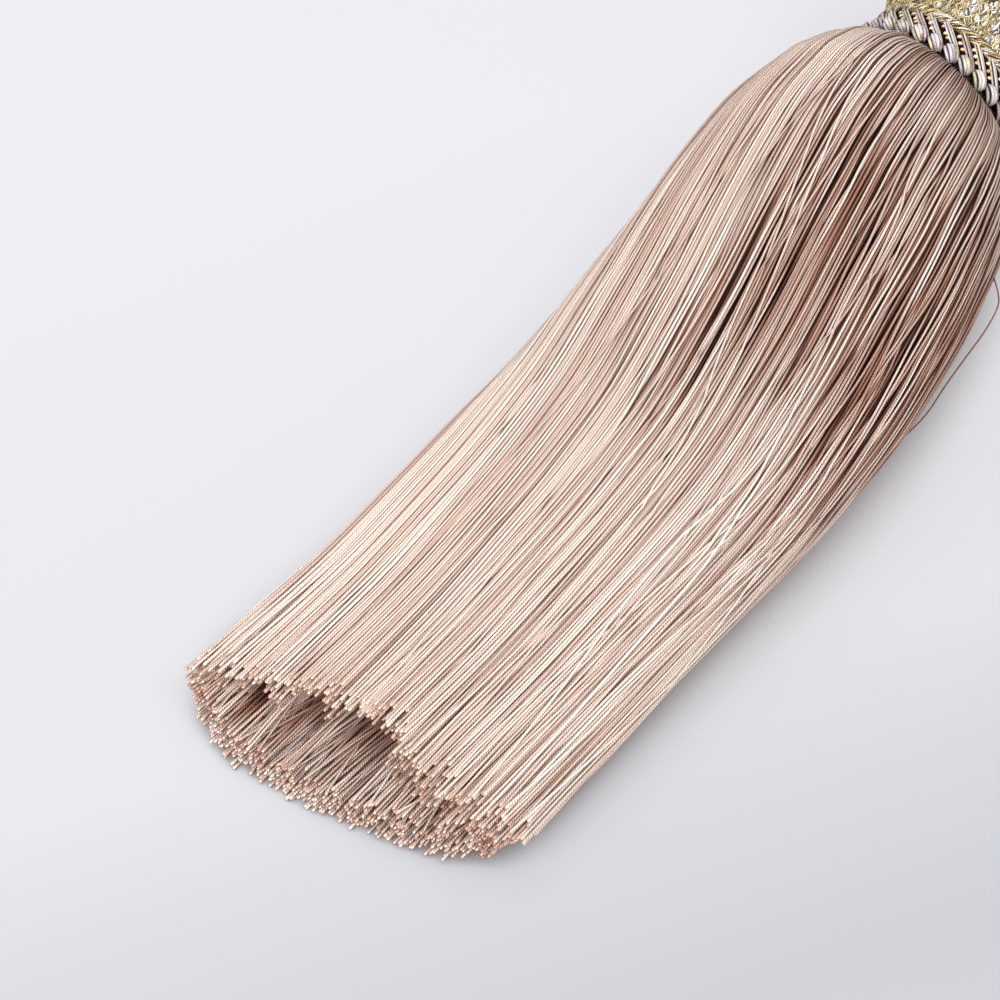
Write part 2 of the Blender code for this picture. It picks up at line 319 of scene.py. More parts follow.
def station_backs():
    share = np.linspace(0, 1, STATIONS)
    return FIRST_BACK + STATION_SPAN * (STATION_EVEN * share + STATION_BENT * share**STATION_POWER)


def lock_places(rng, fractions, shares):
    """Each cord's lock at every station, and its place in it, from -0.5 to 0.5."""
    uneven = rng.uniform(-LOCK_UNEVEN, LOCK_UNEVEN, LOCKS) / LOCKS
    edges = np.sort((np.linspace(0, 1, LOCKS + 1)[:-1] + uneven) % 1.0)
    wander = lattice_noise(rng, fractions[:, None], shares, *LOCK_WANDER_CELLS)
    place = (fractions[:, None] + wander * LOCK_WANDER / LOCKS) % 1.0
    lock = np.searchsorted(edges, place) % LOCKS
    low = edges[lock - 1]
    width = (edges[lock] - low) % 1.0
    return lock, ((place - low) % 1.0) / width - 0.5


def stray(rng, wave, start, shares):
    """The noise of one wave, from -1 to 1."""
    if len(wave.cells) == 1:
        return own_noise(rng, len(start), shares, *wave.cells)
    return lattice_noise(rng, start[:, None], shares, *wave.cells)


def skirt_layout(skin):
    """The place round the girth and the depth of every cord at every station, and its layer."""
    rng = np.random.default_rng(LOCK_SEED)
    backs = skin.backs
    shares = np.clip(backs / NOISE_LENGTH, 0, 1)
    layer = np.concatenate([np.full(row.cords, n) for n, row in enumerate(LAYERS)])
    start = [(np.arange(row.cords) + rng.uniform(0, 1)) / row.cords for row in LAYERS]
    start = np.concatenate(start)
    start += rng.uniform(-START_UNEVEN, START_UNEVEN, len(start)) / LAYERS[0].cords
    count = len(start)
    rows = np.array([[row.depth, row.end_depth, row.parting, row.fan] for row in LAYERS])[layer]
    droop = smooth_step(backs, *DROOP_FROM)
    depth = rows[:, :1] + (rows[:, 1:2] - rows[:, :1]) * droop
    parting, fan = rows[:, 2:3], rows[:, 3:4]

    near = in_band(start, NEAR_SIDE)
    zone = (NEAR_BASE + NEAR_MORE * near)[:, None]
    strength = sum(share * smooth_step(backs, *run) for share, run in LOOSENING)
    fading = 1 - EVENING * smooth_step(backs, *EVENING_RUNS)
    lock, inside = lock_places(rng, start, shares)
    opening = rng.uniform(*LOCK_OPENING, (LOCKS, LOCK_CELLS + 2))
    j, fv = cell_of(shares, LOCK_CELLS)
    pull = opening[lock, j] * (1 - fv) + opening[lock, j + 1] * fv
    pull = np.clip(pull, 0, 1) * zone * strength * fading
    lateral = -inside * pull * PARTING * parting
    depth = depth - LOCK_CROWN * (1 - 4 * inside**2) * pull * parting
    for wave in SIDEWAYS:
        far = strength * (wave.base + wave.near * zone)
        lateral += far * stray(rng, wave, start, shares) * (parting if wave.parted else 1)
    depth += strength * LIFT_SHARED.near * stray(rng, LIFT_SHARED, start, shares) * zone * fading
    far = strength * (LIFT_OWN.base + LIFT_OWN.near * zone * fading)
    depth += far * stray(rng, LIFT_OWN, start, shares)

    flank = in_band(start, FLANK)
    for crossing in CROSSINGS:
        chance = crossing.chance + crossing.near * near + crossing.flank * flank
        crosser = (rng.uniform(0, 1, count) < np.where(layer == 0, chance, 0.0))[:, None]
        begin = rng.uniform(crossing.first, crossing.last, (count, 1))
        end = begin + crossing.run * rng.uniform(*CROSSING_RUN_SPREAD, (count, 1))
        drift = crossing.drift * rng.uniform(*CROSSING_DRIFT_SPREAD, (count, 1))
        over = smooth_step(backs, begin - CROSSING_LEAD, begin)
        over *= 1 - smooth_step(backs, end, end + CROSSING_LEAD)
        lateral += np.where(crosser, drift * smooth_step(backs, begin, end), 0)
        depth -= np.where(crosser, CROSSING_LIFT * over, 0)

    spreading = smooth_step(backs, *SPREAD_RUNS)
    lateral += spreading * fan * rng.normal(0, 1.0, (count, 1))
    depth += spreading * fan * SPREAD_DEPTH * rng.normal(0, 1.0, (count, 1))
    splayed = ((layer >= SPLAYED_FROM) & (rng.uniform(0, 1, count) < SPLAYED_SHARE))[:, None]
    splay = rng.normal(0, SPLAY, (count, 1)) * smooth_step(backs, *SPLAY_RUNS)
    lateral += np.where(splayed, splay, 0)
    across = start[:, None] * skin.girth + lateral
    return across, depth, layer, rng


def cord_radii(count, backs, rng):
    squeeze = NECK_SQUEEZE + (1 - NECK_SQUEEZE) * smooth_step(backs, 0.0, SQUEEZE_ENDS)
    own = CORD_RADIUS * rng.uniform(1 - RADIUS_SPREAD, 1 + RADIUS_SPREAD, count)
    return own[:, None] * squeeze


def settle(across, depth, radius, girth, wall, rounds):
    """Pushes cords that share a place apart in every section, and keeps each one smooth."""
    home = depth.copy()
    for turn in range(rounds):
        wrapped = across % girth
        order = np.argsort(wrapped, axis=0)
        a = np.take_along_axis(wrapped, order, 0)
        d = np.take_along_axis(depth, order, 0)
        r = np.take_along_axis(radius, order, 0)
        push_a, push_d = np.zeros_like(a), np.zeros_like(d)
        for step in range(1, SETTLE_NEIGHBOURS + 1):
            da = np.roll(a, -step, 0) - a
            da[-step:] += girth
            dd = np.roll(d, -step, 0) - d
            far = np.hypot(da, dd) + 1e-6
            lap = np.maximum(r + np.roll(r, -step, 0) - far, 0) * SETTLE_PUSH
            lap_a, lap_d = lap * da / far, lap * dd / far
            push_a += np.roll(lap_a, step, 0) - lap_a
            push_d += np.roll(lap_d, step, 0) - lap_d
        moved = np.zeros_like(across)
        np.put_along_axis(moved, order, push_a, 0)
        across += moved
        np.put_along_axis(moved, order, push_d, 0)
        depth += moved
        depth += (home - depth) * SETTLE_HOME
        if turn < rounds - SETTLE_UNSMOOTHED:
            for values, unit in ((across, girth), (depth, np.ones(len(girth)))):
                shares = values / unit
                bend = shares[:, :-2] + shares[:, 2:] - 2 * shares[:, 1:-1]
                values[:, 1:-1] += SETTLE_SMOOTH * bend * unit[1:-1]
        np.clip(depth, -SETTLE_PROUD, wall + SETTLE_DEEPER, out=depth)
    return across, depth


Mouth = namedtuple("Mouth", "upper gap low high")


def mouth_places(skin, fractions):
    """How much each cord is of the mouth's upper side and in a gap, and the two cuts there."""
    k = int(np.argmin(np.abs(skin.backs - CUT_AT)))
    at = skin.point(fractions[:, k], k)
    low_edge, high_edge = skin.rows.top[k] * np.array(UPPER_SIDE)
    upper = smooth_step(at[:, 2], low_edge, high_edge)
    gap = np.zeros(len(at))
    for row in MOUTH_GAPS:
        inside, outside = np.array(GAP_EDGE) * row.half_width
        gap += 1 - smooth_step(np.abs(at[:, 1] - row.side), inside, outside)
    cuts = CutLine(*np.array(CUT_LINE).T)
    low, high = (np.interp(at[:, 1], cuts.side, line) for line in (cuts.lower, cuts.upper))
    return Mouth(upper, np.clip(gap, 0, 1), low, high)


def closing(skin, mouth, depth):
    """Closes the mouth, save at its gaps: upper inner cords sag and lower ones lie higher."""
    extra = mouth.upper * (SAG * (1 - mouth.gap) - GAP_LIFT * mouth.gap)
    share = np.clip(depth / INNER_DEPTH, 0, 1) ** INNER_POWER
    rise = (1 - mouth.upper) * RISE * (1 - RISE_IN_GAP * mouth.gap)
    sag = extra[:, None] * smooth_step(skin.backs, *DROOP_FROM)
    hump = smooth_step(skin.backs, *RISE_RUNS)
    hump *= 1 - RISE_LOST * smooth_step(skin.backs, *RISE_FADES)
    return depth + share * (sag + rise[:, None] * hump)


def cut_backs(mouth, depth, rng):
    """How far back each cord is cut. Upper inner cords reach past outer ones, save at a gap."""
    uneven = rng.normal(0, 1, len(depth)).clip(UNEVEN_LEAST, UNEVEN_MOST)
    deep = np.clip(depth, 0, STEPPED_DEPTH)
    lower_cut = mouth.low - CUT_SHORT - STEPPED_LOWER * deep + UNEVEN_LOWER * uneven
    stepped = STEPPED_UPPER * deep * (1 - STEPPED_IN_GAP * mouth.gap)
    upper_cut = mouth.high + stepped + UNEVEN_UPPER * uneven
    return lower_cut * (1 - mouth.upper) + upper_cut * mouth.upper


def along_line(values, places):
    """Values (cords, stations, ...) read at fractional stations (cords, rings), by a cubic."""
    last = values.shape[1] - 1
    i = np.clip(np.floor(places).astype(int), 0, last - 1)
    t = (places - i)[..., None]
    rows = np.arange(len(values))[:, None]
    p0, p1 = values[rows, np.maximum(i - 1, 0)], values[rows, i]
    p2, p3 = values[rows, i + 1], values[rows, np.minimum(i + 2, last)]
    bend = 2 * p0 - 5 * p1 + 4 * p2 - p3 + t * (3 * (p1 - p2) + p3 - p0)
    return p1 + 0.5 * t * (p2 - p0 + t * bend)


def placed(name, data):
    """A new object in the scene, of a mesh, a light or a camera."""
    made = bpy.data.objects.new(name, data)
    bpy.context.scene.collection.objects.link(made)
    return made


def shown_on(piece, slot, *nodes):
    """Puts a piece on the one body and hides the CAD nodes that it may replace. The slot is not
    used.
    """
    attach(piece, "root")
    if nodes:
        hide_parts(*nodes)


def tubes(name, slot, centres, radii, facing, sides, tints, finish, lengths, *nodes):
    """A piece that is one mesh of capped tubes, from their middle lines: (cords, rings, 3)."""
    count, rings = centres.shape[:2]
    lifted = np.maximum(centres[..., 2:], radii[..., None])
    centres = np.concatenate([centres[..., :2], lifted], 2)
    tangent = np.gradient(centres, axis=1)
    tangent /= np.linalg.norm(tangent, axis=2, keepdims=True)
    out = facing - (facing * tangent).sum(2, keepdims=True) * tangent
    out /= np.linalg.norm(out, axis=2, keepdims=True)
    beside = np.cross(tangent, out)
    angles = evenly(sides)
    ring = out[:, :, None] * np.cos(angles)[:, None] + beside[:, :, None] * np.sin(angles)[:, None]
    skin_points = centres[:, :, None] + ring * radii[:, :, None, None]
    ends = np.stack([centres[:, 0], centres[:, -1]], 1)
    points = np.concatenate([skin_points.reshape(count, -1, 3), ends], 1)
    per_cord = rings * sides + 2

    around, after = np.arange(sides), (np.arange(sides) + 1) % sides
    rows = np.arange(rings - 1)[:, None] * sides
    here, beside_here = (rows + around).ravel(), (rows + after).ravel()
    quads = np.stack([here, beside_here, beside_here + sides, here + sides], 1)
    tip = (rings - 1) * sides
    first = np.stack([after, around, np.full(sides, rings * sides)], 1)
    final = np.stack([around + tip, after + tip, np.full(sides, rings * sides + 1)], 1)
    loops = np.concatenate([quads.ravel(), first.ravel(), final.ravel()])
    sizes = np.concatenate([np.full(len(quads), 4), np.full(2 * sides, 3)])

    share = np.arange(sides) / sides
    u_quads = np.stack([share, share + 1 / sides, share + 1 / sides, share], 1)
    u = np.concatenate([np.tile(u_quads, (rings - 1, 1)).ravel(), np.zeros(6 * sides)])
    v_ring = np.concatenate([np.repeat(np.arange(rings), sides), [0, rings - 1]])
    v = lengths[:, v_ring[loops]]
    uv = np.stack([np.broadcast_to(u, v.shape), v], 2)

    starts = np.concatenate([[0], np.cumsum(np.tile(sizes, count))[:-1]])
    all_loops = (loops + np.arange(count)[:, None] * per_cord).ravel()
    mesh = bpy.data.meshes.new(name)
    mesh.vertices.add(count * per_cord)
    mesh.vertices.foreach_set("co", ((points + OFFSET) * MM).astype(np.float32).ravel())
    mesh.loops.add(len(all_loops))
    mesh.loops.foreach_set("vertex_index", all_loops.astype(np.int32))
    mesh.polygons.add(len(starts))
    mesh.polygons.foreach_set("loop_start", starts.astype(np.int32))
    mesh.update(calc_edges=True)
    mesh.shade_smooth()
    mesh.uv_layers.new(name="cord").data.foreach_set("uv", uv.astype(np.float32).ravel())
    tint = mesh.attributes.new("tint", "FLOAT_COLOR", "POINT")
    ring_tints = np.repeat(tints, sides, axis=1)
    ring_tints = np.concatenate([ring_tints, tints[:, :1], tints[:, -1:]], 1)
    tint.data.foreach_set("color", ring_tints.astype(np.float32).ravel())
    mesh.materials.append(finish)
    shown_on(placed(name, mesh), slot, *nodes)


def running_length(centres):
    steps = np.linalg.norm(np.diff(centres, axis=1), axis=2)
    return np.concatenate([np.zeros((len(centres), 1)), np.cumsum(steps, axis=1)], 1)


def tinted(tones, shades, rings):
    """The tints of cords without cut tips, from the tone and the shade of each cord or ring, with
    full painted side shade.
    """
    tints = np.ones((len(tones), rings, 4))
    tints[..., 0] = np.clip(tones, 0, 1)
    tints[..., 1] = np.clip(shades, 0, 1)
    tints[..., 2] = 0
    return tints


class Nodes:
    """Adds shader nodes to a material by short calls."""

    def __init__(self, name):
        self.material = bpy.data.materials.new(name)
        self.material.use_nodes = True
        self.tree = self.material.node_tree
        self.shader = self.tree.nodes["Principled BSDF"]

    def add(self, kind, **settings):
        node = self.tree.nodes.new(kind)
        for key, value in settings.items():
            setattr(node, key, value)
        return node

    def put(self, socket, value):
        if isinstance(value, bpy.types.NodeSocket):
            self.tree.links.new(value, socket)
        else:
            socket.default_value = value

    def fill(self, node, values):
        for name, value in values.items():
            self.put(node.inputs[name], value)

    def math(self, operation, first, second=0.0, third=0.0):
        node = self.add("ShaderNodeMath", operation=operation)
        for socket, value in zip(node.inputs, (first, second, third)):
            self.put(socket, value)
        return node.outputs[0]

    def mix(self, factor, first, second, blend="MIX"):
        node = self.add("ShaderNodeMix", data_type="RGBA", blend_type=blend)
        self.put(node.inputs["Factor"], factor)
        self.put(node.inputs[6], first)
        self.put(node.inputs[7], second)
        return node.outputs[2]

    def ramp(self, factor, stops):
        node = self.add("ShaderNodeValToRGB")
        elements = node.color_ramp.elements
        while len(elements) < len(stops):
            elements.new(0.5)
        for element, (place, colour) in zip(elements, stops):
            element.position = place
            element.color = (*colour, 1)
        self.put(node.inputs[0], factor)
        return node.outputs[0]

    def attribute(self, name):
        node = self.add("ShaderNodeAttribute", attribute_name=name)
        return node.outputs["Color"], node.outputs["Alpha"]

    def split(self, colour):
        node = self.add("ShaderNodeSeparateColor")
        self.put(node.inputs[0], colour)
        return node.outputs

    def uv(self):
        node = self.add("ShaderNodeUVMap", uv_map="cord")
        parts = self.add("ShaderNodeSeparateXYZ")
        self.put(parts.inputs[0], node.outputs[0])
        return parts.outputs[0], parts.outputs[1]


# How cords are twisted: the plies, the length of one turn, how much painted shade darkens the
# grooves, and the strength of the bump.
Twist = namedtuple("Twist", "plies lay groove bump")
BUMP_HEIGHT = 0.15
WHITE = (1.0, 1.0, 1.0)
# The tint's green darkens a cord by this ramp: on the skirt mostly painted shade, elsewhere each
# thread's own darker tone.
SHADE_STOPS = [(0.0, (0.05, 0.018, 0.014)), (0.5, (0.46, 0.285, 0.23)), (1.0, WHITE)]
# Painted side shade: full where a cord's surface faces most sideways, none where it faces out or
# in.
SIDE_SHADE_FULL, SIDE_SHADE_NONE = 0.1, 0.75


def twisted_finish(
    name, stops, tip, twist, edge, roughness, metallic=0.0, specular=0.5, gleam=WHITE
):
    """Twisted cord. The tint's red picks the tone, its green darkens it (on the skirt mostly
    painted shade, elsewhere each cord's own darker tone), its blue is the cut tip's share, and its
    alpha is how much painted side shade, in the edge colour, darkens the cord's sides. The twist's
    grooves get painted shade too."""
    nodes = Nodes(name)
    tint, side_shade_share = nodes.attribute("tint")
    red, green, blue = nodes.split(tint)[:3]
    u, v = nodes.uv()
    turned = nodes.math("DIVIDE", v, twist.lay / twist.plies)
    turn = nodes.math("MULTIPLY_ADD", u, float(twist.plies), turned)
    wave = nodes.math("SINE", nodes.math("MULTIPLY", turn, TURN))
    height = nodes.math("MULTIPLY_ADD", wave, 0.5, 0.5)
    colour = nodes.ramp(red, stops)
    colour = nodes.mix(1.0, colour, nodes.ramp(green, SHADE_STOPS), "MULTIPLY")
    # Painted side shade: the cord's sides are darkened towards the edge colour, where neighbours
    # shade them.
    outward = nodes.math("COSINE", nodes.math("MULTIPLY", u, TURN))
    stops = [(SIDE_SHADE_FULL, edge), (SIDE_SHADE_NONE, WHITE)]
    sides = nodes.ramp(nodes.math("ABSOLUTE", outward), stops)
    colour = nodes.mix(side_shade_share, colour, nodes.mix(1.0, colour, sides, "MULTIPLY"))
    # Painted shade in the grooves between the plies.
    groove_shade = nodes.math("MULTIPLY_ADD", height, twist.groove, 1.0 - twist.groove)
    shade = nodes.add("ShaderNodeCombineColor")
    for socket in shade.inputs:
        nodes.put(socket, groove_shade)
    colour = nodes.mix(1.0, colour, shade.outputs[0], "MULTIPLY")
    colour = nodes.mix(blue, colour, (*tip, 1))
    bump = nodes.add("ShaderNodeBump")
    nodes.fill(bump, {"Strength": twist.bump, "Distance": BUMP_HEIGHT * MM, "Height": height})
    nodes.fill(nodes.shader, {
        "Base Color": colour,
        "Normal": bump.outputs[0],
        "Roughness": roughness,
        "Metallic": metallic,
        "Specular IOR Level": specular,
        "Specular Tint": (*gleam, 1),
    })
    return nodes.material


THREAD_STOPS = [
    (0.0, (0.32, 0.155, 0.12)),
    (0.3, (0.56, 0.39, 0.33)),
    (0.65, (0.75, 0.62, 0.545)),
    (1.0, (0.86, 0.79, 0.725)),
]
TIP_COLOUR = (0.50, 0.29, 0.21)

# The painted shade on the skirt's cords: deep cords, cords under the mouth's lip, the cords' sides
# and the run by the collar are darkened, and the lower side past the lip gets painted light. A pair
# is a value and what a share adds to it: that of the near side by the collar (zone), of the run
# before the cut ends (along), or of a gap.
ZONE_FADES, ENDS_BEGIN = (85.0, 155.0), (198.0, 230.0)
DEPTH_SHADE_FROM, DEPTH_SHADE_TO = (0.55, -0.4), (2.5, -1.5)
DEPTH_SHADE_ZONE, DEPTH_SHADE_ALONG = (0.36, 0.6), (0.35, 0.65)
ROOF_SHADOW_FROM, ROOF_SHADOW_TO, ROOF_SHADOW_GAP = (-3.0, 2.0), (1.0, 2.8), (0.05, 1.0)
ROOF_SHADOW_DEPTH, BARED_RUNS = (1.2, 2.6), (0.0, 6.0)
SIDE_SHADE_ZONE, SIDE_SHADE_ALONG, SIDE_SHADE_PAST_LIP = (0.46, 0.54), (0.4, 0.6), 0.6
NEAR_SHADE_BY_SIDE, NEAR_SHADE_ALONG = (0.3, 0.7), (0.10, 0.90)
NEAR_SHADE_FADES, NEAR_SHADE_RUNS = (75.0, 150.0), (10.0, 55.0)

# The cords' tones and shades: by chance and by flecks, with painted light past the lip and painted
# shade where the place is deep or roofed, near the collar and by the cut ends.
NEAR_SHADE_AMOUNT, NEAR_SHADE_FLECKS, NEAR_SHADE_OWN, NEAR_SHADE_MOST, NEAR_SHADE_CELLS = 0.34, 0.5, 0.5, 0.9, 7
TONE, TONE_OWN, TONE_FLECKS, TONE_CELLS = 0.42, 0.5, 0.1, 6
PAST_LIP_PAINTED_LIGHT, TONE_PAINTED_SHADE = 0.10, 0.25
PAINTED_SHADE_STRENGTH, SHADE_OWN, NEAR_SHADE_STRENGTH = 0.92, 0.12, 0.56
PAINTED_END_SHADE, PAINTED_END_SHADE_REACH = (0.14, 0.05), 5.0
TIP_SHARE, TIP_REACH, TIP_POWER = 0.6, 2.4, 1.6
LAY_SPREAD, SKIRT_LAY_START = (0.88, 1.14), (0, 40)


def added(pair, share):
    return pair[0] + pair[1] * share


def skirt_shades(skin, mouth, fractions, depth):
    """Each cord's painted shades at every station, how far past the lip it lies, and its zone."""
    backs = skin.backs
    gap, lower = mouth.gap[:, None], (1 - mouth.upper)[:, None]
    near = in_band(fractions % 1.0, SHADED_SIDE)
    zone = near * (1 - smooth_step(backs, *ZONE_FADES))
    inner = 1 - smooth_step(backs, *ENDS_BEGIN)
    # Painted shade: deeper cords are darker, more so in the zone and before the cut ends.
    depth_shade = smooth_step(depth, added(DEPTH_SHADE_FROM, zone), added(DEPTH_SHADE_TO, zone))
    depth_shade = depth_shade * added(DEPTH_SHADE_ZONE, zone) * added(DEPTH_SHADE_ALONG, inner)
    # Painted shadow: lower-side cords that lie deep under the upper side's lip are darkened, most
    # at a gap.
    past_lip = backs - mouth.high[:, None]
    roof_shadow = 1 - smooth_step(past_lip, added(ROOF_SHADOW_FROM, gap), added(ROOF_SHADOW_TO, gap))
    roof_shadow *= smooth_step(depth, *ROOF_SHADOW_DEPTH) * lower * (1 - inner)
    depth_shade = np.maximum(depth_shade, roof_shadow * added(ROOF_SHADOW_GAP, gap))
    # Past the lip the lower side's cords get painted light in their tone and lose their own
    # darkening.
    bared = smooth_step(past_lip, *BARED_RUNS) * lower
    # Painted side shade: how much each cord's sides darken, more in the zone, before the cut ends
    # and past the lip.
    edges = added(SIDE_SHADE_ZONE, zone) * added(SIDE_SHADE_ALONG, inner) + SIDE_SHADE_PAST_LIP * bared
    # Painted shade over the run nearest the collar, most on the near side and least at the neck.
    near_side_shade = added(NEAR_SHADE_BY_SIDE, near) * (1 - smooth_step(backs, *NEAR_SHADE_FADES))
    near_side_shade *= added(NEAR_SHADE_ALONG, smooth_step(backs, *NEAR_SHADE_RUNS))
    return (depth_shade, edges, near_side_shade, bared), zone


def cord_tints(rng, number, shades, lengths):
    """The tints of one layer's cords, with their painted shade and painted light."""
    count = len(lengths)
    dark, edge, near_shade, bare = shades
    left = lengths[:, -1:] - lengths
    along = lengths[0] / lengths[0, -1]
    own = rng.uniform(0, 1, (count, 1))
    # Painted shade near the collar: each cord's own share of it, with flecks along it.
    near_shade_amount = NEAR_SHADE_AMOUNT + NEAR_SHADE_FLECKS * own_noise(rng, count, along, NEAR_SHADE_CELLS) + NEAR_SHADE_OWN * (own - 0.5)
    tone = TONE + TONE_OWN * rng.uniform(0, 1, (count, 1))
    tone = tone + TONE_FLECKS * own_noise(rng, count, along, TONE_CELLS)
    # Painted shade darkens and warms deep and roofed cords; painted light lifts the tone past the
    # lip.
    tone += PAST_LIP_PAINTED_LIGHT * bare - TONE_PAINTED_SHADE * dark
    shade = 1.0 - PAINTED_SHADE_STRENGTH * dark - SHADE_OWN * own * (1 - bare)
    shade = shade - NEAR_SHADE_STRENGTH * np.clip(near_shade_amount, 0, NEAR_SHADE_MOST) * near_shade
    # Painted shade among the cut ends, darker in the deeper layers.
    end_painted_shade = added(PAINTED_END_SHADE, number) * np.clip(1 - left / PAINTED_END_SHADE_REACH, 0, 1)
    shade -= end_painted_shade * rng.uniform(0, 1, (count, 1))
    tip = np.clip(1.0 - left / TIP_REACH, 0, 1)
    tip = tip * rng.uniform(0.0, 1.0, (count, 1)) ** TIP_POWER * TIP_SHARE
    return np.stack([np.clip(tone, 0, 1), np.clip(shade, 0, 1), tip, edge], 2)


def build_skirt():
    skin = Skin(station_backs())
    across, depth, layer, rng = skirt_layout(skin)
    radius = cord_radii(len(layer), skin.backs, rng)
    reach = skin.rows.wall + END_REACH * smooth_step(skin.backs, *DROOP_FROM)
    rounds = SETTLE_ROUNDS
    across, depth = settle(across, depth, radius, skin.girth, reach, rounds)
    mouth = mouth_places(skin, across / skin.girth - SKEW)
    depth = closing(skin, mouth, depth)
    fractions = across / skin.girth - SKEW * smooth_step(skin.backs, *SKEW_RUNS)
    facing = skin.normals(fractions)
    centres = skin.points(fractions) - facing * depth[..., None]
    centres[..., 2] = np.maximum(centres[..., 2], radius)
    ends = cut_backs(mouth, depth[:, ENDS_STATION], rng)
    shades, zone = skirt_shades(skin, mouth, fractions, depth)
    radius = radius * (1 - THINNED * zone)
    finish = twisted_finish(
        "skirt_thread", THREAD_STOPS, TIP_COLOUR, Twist(2, 1.45, 0.25, 0.5),
        (0.16, 0.055, 0.04), 0.30, metallic=0.30, specular=0.36, gleam=(1.0, 0.82, 0.72),
    )
    left, swelling = np.array(TIP_RINGS).T
    for number, row in enumerate(LAYERS):
        mine = np.flatnonzero(layer == number)
        share = np.linspace(0, 1, row.rings - len(TIP_RINGS) + 1)
        last = np.interp(ends[mine][:, None] - left, skin.backs, np.arange(STATIONS))
        places = np.concatenate([1.0 + share * (last[:, :1] - 1.0), last[:, 1:]], 1)
        line, out = along_line(centres[mine], places), along_line(facing[mine], places)
        thick = along_line(radius[mine][..., None], places)[..., 0]
        mixed = [along_line(values[mine][..., None], places)[..., 0] for values in shades]
        lengths = running_length(line)
        thick *= 1 - TAPER * (lengths / lengths[:, -1:]) ** 2
        knobs = rng.uniform(*KNOB_SPREAD, (len(mine), 1))
        thick[:, -len(TIP_RINGS):] *= 1 + swelling * knobs
        tints = cord_tints(rng, number, np.clip(mixed, 0, 1), lengths)
        lengths = lengths * rng.uniform(*LAY_SPREAD, (len(mine), 1))
        lengths = lengths + rng.uniform(*SKIRT_LAY_START, (len(mine), 1))
        nodes = ["skirt"] if number == 0 else []
        sides = row.sides
        tubes(row.name, "skirt_thread", line, thick, out, sides, tints, finish, lengths, *nodes)
    return finish


# A thread that has come away from the skirt's side: how far back each point of its middle line is,
# its sideways place and its height.
STRAY_THREAD = [
    (30.0, -37.0, 28.0), (36.0, -41.5, 28.5), (39.5, -45.5, 27.5), (41.0, -47.0, 24.0),
    (46.1, -47.2, 20.0), (53.9, -47.0, 17.0), (62.8, -47.3, 15.0), (72.1, -47.9, 13.0),
    (81.5, -47.0, 12.0), (88.0, -45.0, 11.0), (96.0, -42.0, 10.0),
]
STRAY_RADIUS, STRAY_RINGS = 0.2, 60
LEAST_HEIGHT = 0.3
STRAY_OUT = (0.0, -1.0, 0.6)
STRAY_TONE, STRAY_SHADE = 0.15, 0.55


def build_stray(finish):
    known = np.array(STRAY_THREAD) * [-1, 1, 1]
    line = along_line(known[None], np.linspace(0, len(known) - 1, STRAY_RINGS)[None, :])
    out = np.zeros_like(line) + STRAY_OUT
    tints = tinted([STRAY_TONE], STRAY_SHADE, STRAY_RINGS)
    thick = np.full((1, STRAY_RINGS), STRAY_RADIUS)
    lengths = running_length(line)
    tubes("skirt_stray_thread", "skirt_thread", line, thick, out, 5, tints, finish, lengths)


def on_head(along, radius, angle):
    """Points round the head's axis. Angle 0 is up, and it grows towards -Y."""
    sides = (along, -radius * np.sin(angle), radius * np.cos(angle))
    local = np.stack(np.broadcast_arrays(*sides), -1)
    return np.array([0, 0, COLLAR_HEIGHT]) + local @ head_turn().T


def lathe(name, profile, sides, finish):
    """A closed ring round the head's axis, from its section's (along, radius) points."""
    table = np.array(profile)
    count = len(table)
    angles = evenly(sides)
    points = on_head(table[None, :, 0], table[None, :, 1], angles[:, None])
    points[..., 2] = np.maximum(points[..., 2], LEAST_HEIGHT)
    faces = []
    for side in range(sides):
        here, beside = side * count, (side + 1) % sides * count
        for step in range(count):
            after = (step + 1) % count
            faces.append((here + step, here + after, beside + after, beside + step))
    mesh = bpy.data.meshes.new(name)
    mesh.from_pydata(((points.reshape(-1, 3) + OFFSET) * MM).tolist(), [], faces)
    mesh.shade_smooth()
    mesh.materials.append(finish)
    return placed(name, mesh)


def grained_finish(name, dark, light, scale, roughness, specular=0.3):
    nodes = Nodes(name)
    noise = nodes.add("ShaderNodeTexNoise")
    nodes.fill(noise, {"Scale": scale})
    colour = nodes.ramp(noise.outputs["Fac"], [(0.3, dark), (0.7, light)])
    look = {"Base Color": colour, "Roughness": roughness, "Specular IOR Level": specular}
    nodes.fill(nodes.shader, look)
    return nodes.material


# The collar's braid has upper bundles and, below them, fat beads that lie over the skirt. A row is
# one point of the middle line: how far along the head's axis, how far round (in bundles), the
# radius, the bundle's width, and the radius of its cords.
UPPER_BUNDLE = [
    (8.9, -1.60, 23.9, 1.4, 0.25),
    (8.0, -1.36, 24.8, 1.6, 0.28),
    (6.6, -0.98, 25.15, 1.8, 0.31),
    (5.0, -0.55, 25.3, 1.85, 0.32),
    (3.4, -0.11, 25.35, 1.85, 0.32),
    (2.0, 0.27, 25.2, 1.8, 0.31),
    (1.0, 0.54, 24.5, 1.5, 0.26),
]
BEAD_BUNDLE = [
    (2.3, -0.30, 24.5, 2.3, 0.36),
    (1.8, -0.18, 25.9, 3.1, 0.45),
    (1.0, 0.02, 26.6, 3.5, 0.50),
    (0.2, 0.22, 26.6, 3.5, 0.50),
    (-0.5, 0.39, 25.9, 3.1, 0.45),
    (-0.8, 0.47, 24.6, 2.3, 0.36),
]
BUNDLES, BUNDLE_RINGS = 32, 24
COLLAR_RADIUS = 25.5
GIMP_STOPS = [
    (0.0, (0.22, 0.08, 0.05)),
    (0.2, (0.80, 0.50, 0.29)),
    (0.4, (0.90, 0.80, 0.60)),
    (0.55, (0.62, 0.64, 0.50)),
    (0.75, (0.60, 0.55, 0.61)),
    (1.0, (0.84, 0.80, 0.87)),
]
